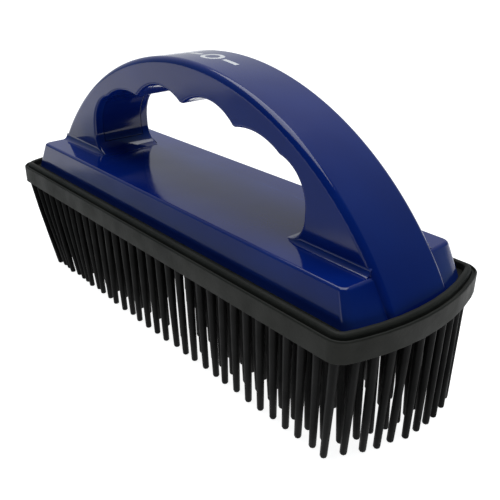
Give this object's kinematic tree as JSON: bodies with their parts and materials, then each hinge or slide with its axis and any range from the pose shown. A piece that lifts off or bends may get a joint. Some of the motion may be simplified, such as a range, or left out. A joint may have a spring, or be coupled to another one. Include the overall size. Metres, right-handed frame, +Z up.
{
  "type": "curry comb",
  "caption": "Hand-held rubber bristle curry comb: a hollow arched handle with four finger grooves on a long base, over a rubber pad of upright bristles.",
  "frame": {"origin": "centre of the plan, at the height of the bristle tips", "axes": "+X along the comb's length, +Y across it, +Z up from the bristle tips to the handle"},
  "size_m": [0.1706, 0.0564, 0.084],
  "materials": {
    "blue_plastic": "gloss",
    "liner_plastic": "gloss",
    "plate_plastic": "matte",
    "screw_steel": "satin",
    "black_rubber": "matte"
  },
  "bodies": {
    "root": {"handle_shell": "blue_plastic", "grip_liner": "liner_plastic", "base_plate": "plate_plastic", "plate_screws": "screw_steel", "rubber_pad": "black_rubber"}
  },
  "joints": []
}
